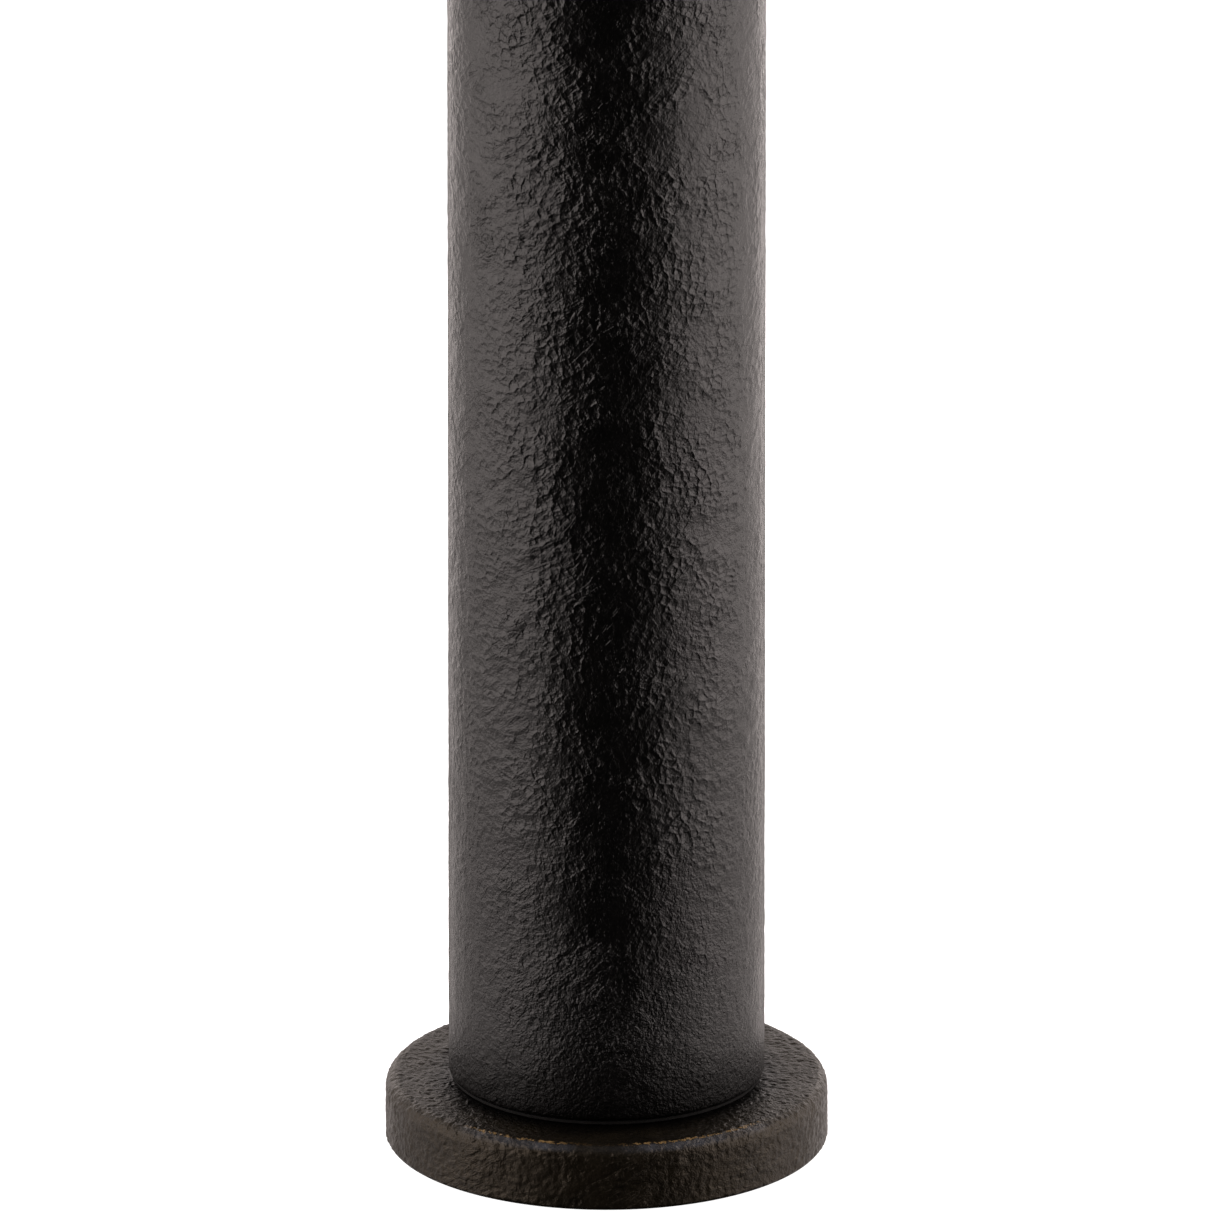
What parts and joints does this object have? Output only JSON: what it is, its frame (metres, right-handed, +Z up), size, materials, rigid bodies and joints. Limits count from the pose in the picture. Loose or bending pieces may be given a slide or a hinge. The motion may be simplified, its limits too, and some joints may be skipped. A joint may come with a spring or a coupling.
{
  "type": "bollard post",
  "caption": "Round bollard post: a rough-cast black iron column on a thick round base, clamped by an inner tie rod, closed by a lift-off cap and bolted down from below.",
  "frame": {"origin": "centre of the bedding pad's underside, the face that the bollard stands on", "axes": "+Z up along the post's axis; -Y is the side that faces the camera in the picture; the dowels lie on X and the deck bolts on the diagonals"},
  "size_m": [0.16, 0.16, 0.5],
  "materials": {
    "rough_black_iron": "rough-cast black, satin, worn brown at the base's rim",
    "zinc_plated_steel": "zinc plated",
    "stainless_steel": "turned, bright",
    "black_rubber": "matt"
  },
  "bodies": {
    "post": {"base_pad": "black_rubber", "base_flange": "rough_black_iron", "deck_bush_1": "stainless_steel", "deck_bush_2": "stainless_steel", "deck_bush_3": "stainless_steel", "deck_bush_4": "stainless_steel", "post_gasket": "black_rubber", "dowel_pin_1": "zinc_plated_steel", "dowel_pin_2": "zinc_plated_steel", "post_tube": "rough_black_iron", "clamp_plate": "zinc_plated_steel", "tie_rod": "zinc_plated_steel", "lower_washer": "zinc_plated_steel", "lower_nut": "zinc_plated_steel", "upper_washer": "zinc_plated_steel", "spring_washer": "zinc_plated_steel", "upper_nut": "zinc_plated_steel", "cap_screw_1": "stainless_steel", "cap_screw_2": "stainless_steel", "cap_screw_3": "stainless_steel"},
    "cap": {"post_cap": "rough_black_iron", "cap_o_ring": "black_rubber"}
  },
  "joints": [
    {"name": "cap_lift", "type": "slide", "parent": "post", "child": "cap", "axis": [0, 0, 1], "range_m": [0, 0.05]}
  ]
}
